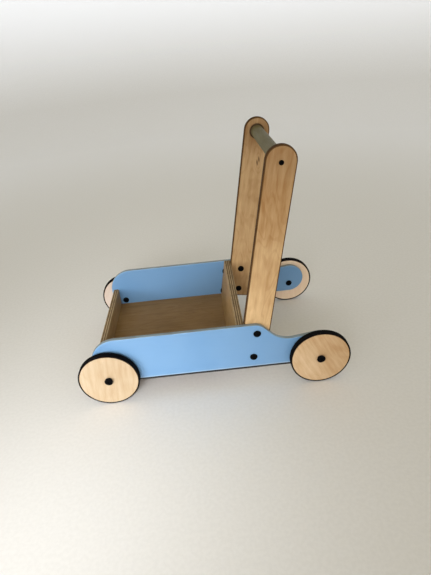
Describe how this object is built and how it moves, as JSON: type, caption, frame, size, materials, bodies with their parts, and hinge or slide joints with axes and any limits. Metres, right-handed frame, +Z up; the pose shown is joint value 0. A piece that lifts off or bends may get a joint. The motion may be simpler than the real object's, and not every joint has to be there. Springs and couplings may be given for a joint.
{
  "type": "baby walker",
  "caption": "Wooden push-along baby walker: an open plywood tray between two rounded side panels, rolling on disc wheels, with a round push handle between two leaning uprights.",
  "frame": {"origin": "on the floor, under the middle of the wheelbase and of the track", "axes": "+X along the length, from the tray's open front end towards the push handle and the walking child; +Y across, towards the child's right; +Z up"},
  "size_m": [0.54, 0.3458, 0.474],
  "materials": {
    "blue_paint": "light blue satin paint on plywood, faces and edges",
    "birch_upright": "clear-lacquered birch plywood, darker sawn edges",
    "birch_board": "clear-lacquered birch plywood",
    "birch_wheel": "clear-lacquered pale birch plywood disc",
    "tyre": "black rubber band, matt",
    "grey_paint": "warm grey satin paint on a round bar",
    "bush": "black nylon",
    "spacer": "black nylon",
    "sleeve": "plain steel tube",
    "insert": "threaded brass insert",
    "dowel": "beech dowel",
    "plated_screw": "zinc plated countersunk wood screw",
    "black_fastener": "black oxide steel, satin, hex socket"
  },
  "bodies": {
    "frame": {"axle_bolt_front_left": "black_fastener", "axle_bolt_front_right": "black_fastener", "axle_bolt_rear_left": "black_fastener", "axle_bolt_rear_right": "black_fastener", "axle_nut_front_left": "black_fastener", "axle_nut_front_right": "black_fastener", "axle_nut_rear_left": "black_fastener", "axle_nut_rear_right": "black_fastener", "axle_sleeve_front_left": "sleeve", "axle_sleeve_front_right": "sleeve", "axle_sleeve_rear_left": "sleeve", "axle_sleeve_rear_right": "sleeve", "axle_spacer_front_left": "spacer", "axle_spacer_front_right": "spacer", "axle_spacer_rear_left": "spacer", "axle_spacer_rear_right": "spacer", "axle_washer_front_left": "spacer", "axle_washer_front_right": "spacer", "axle_washer_rear_left": "spacer", "axle_washer_rear_right": "spacer", "bottom_board": "birch_board", "bottom_dowels": "dowel", "bottom_screws": "plated_screw", "front_board": "birch_board", "front_dowels": "dowel", "handle_bar": "grey_paint", "handle_inserts": "insert", "handle_screws": "black_fastener", "rear_board": "birch_board", "rear_board_screws": "black_fastener", "side_panel_left": "blue_paint", "side_panel_right": "blue_paint", "upright_bolts": "black_fastener", "upright_left": "birch_upright", "upright_nuts": "black_fastener", "upright_right": "birch_upright"},
    "wheel_front_left": {"wheel_disc_front_left": "birch_wheel", "tyre_front_left": "tyre", "bush_front_left": "bush"},
    "wheel_front_right": {"wheel_disc_front_right": "birch_wheel", "tyre_front_right": "tyre", "bush_front_right": "bush"},
    "wheel_rear_left": {"wheel_disc_rear_left": "birch_wheel", "tyre_rear_left": "tyre", "bush_rear_left": "bush"},
    "wheel_rear_right": {"wheel_disc_rear_right": "birch_wheel", "tyre_rear_right": "tyre", "bush_rear_right": "bush"}
  },
  "joints": [
    {"name": "wheel_front_left_spin", "type": "hinge", "parent": "frame", "child": "wheel_front_left", "pos_m": [-0.21, -0.1605, 0.06], "axis": [0, 1, 0], "continuous": true},
    {"name": "wheel_front_right_spin", "type": "hinge", "parent": "frame", "child": "wheel_front_right", "pos_m": [-0.21, 0.1605, 0.06], "axis": [0, 1, 0], "continuous": true},
    {"name": "wheel_rear_left_spin", "type": "hinge", "parent": "frame", "child": "wheel_rear_left", "pos_m": [0.21, -0.1605, 0.06], "axis": [0, 1, 0], "continuous": true},
    {"name": "wheel_rear_right_spin", "type": "hinge", "parent": "frame", "child": "wheel_rear_right", "pos_m": [0.21, 0.1605, 0.06], "axis": [0, 1, 0], "continuous": true}
  ]
}
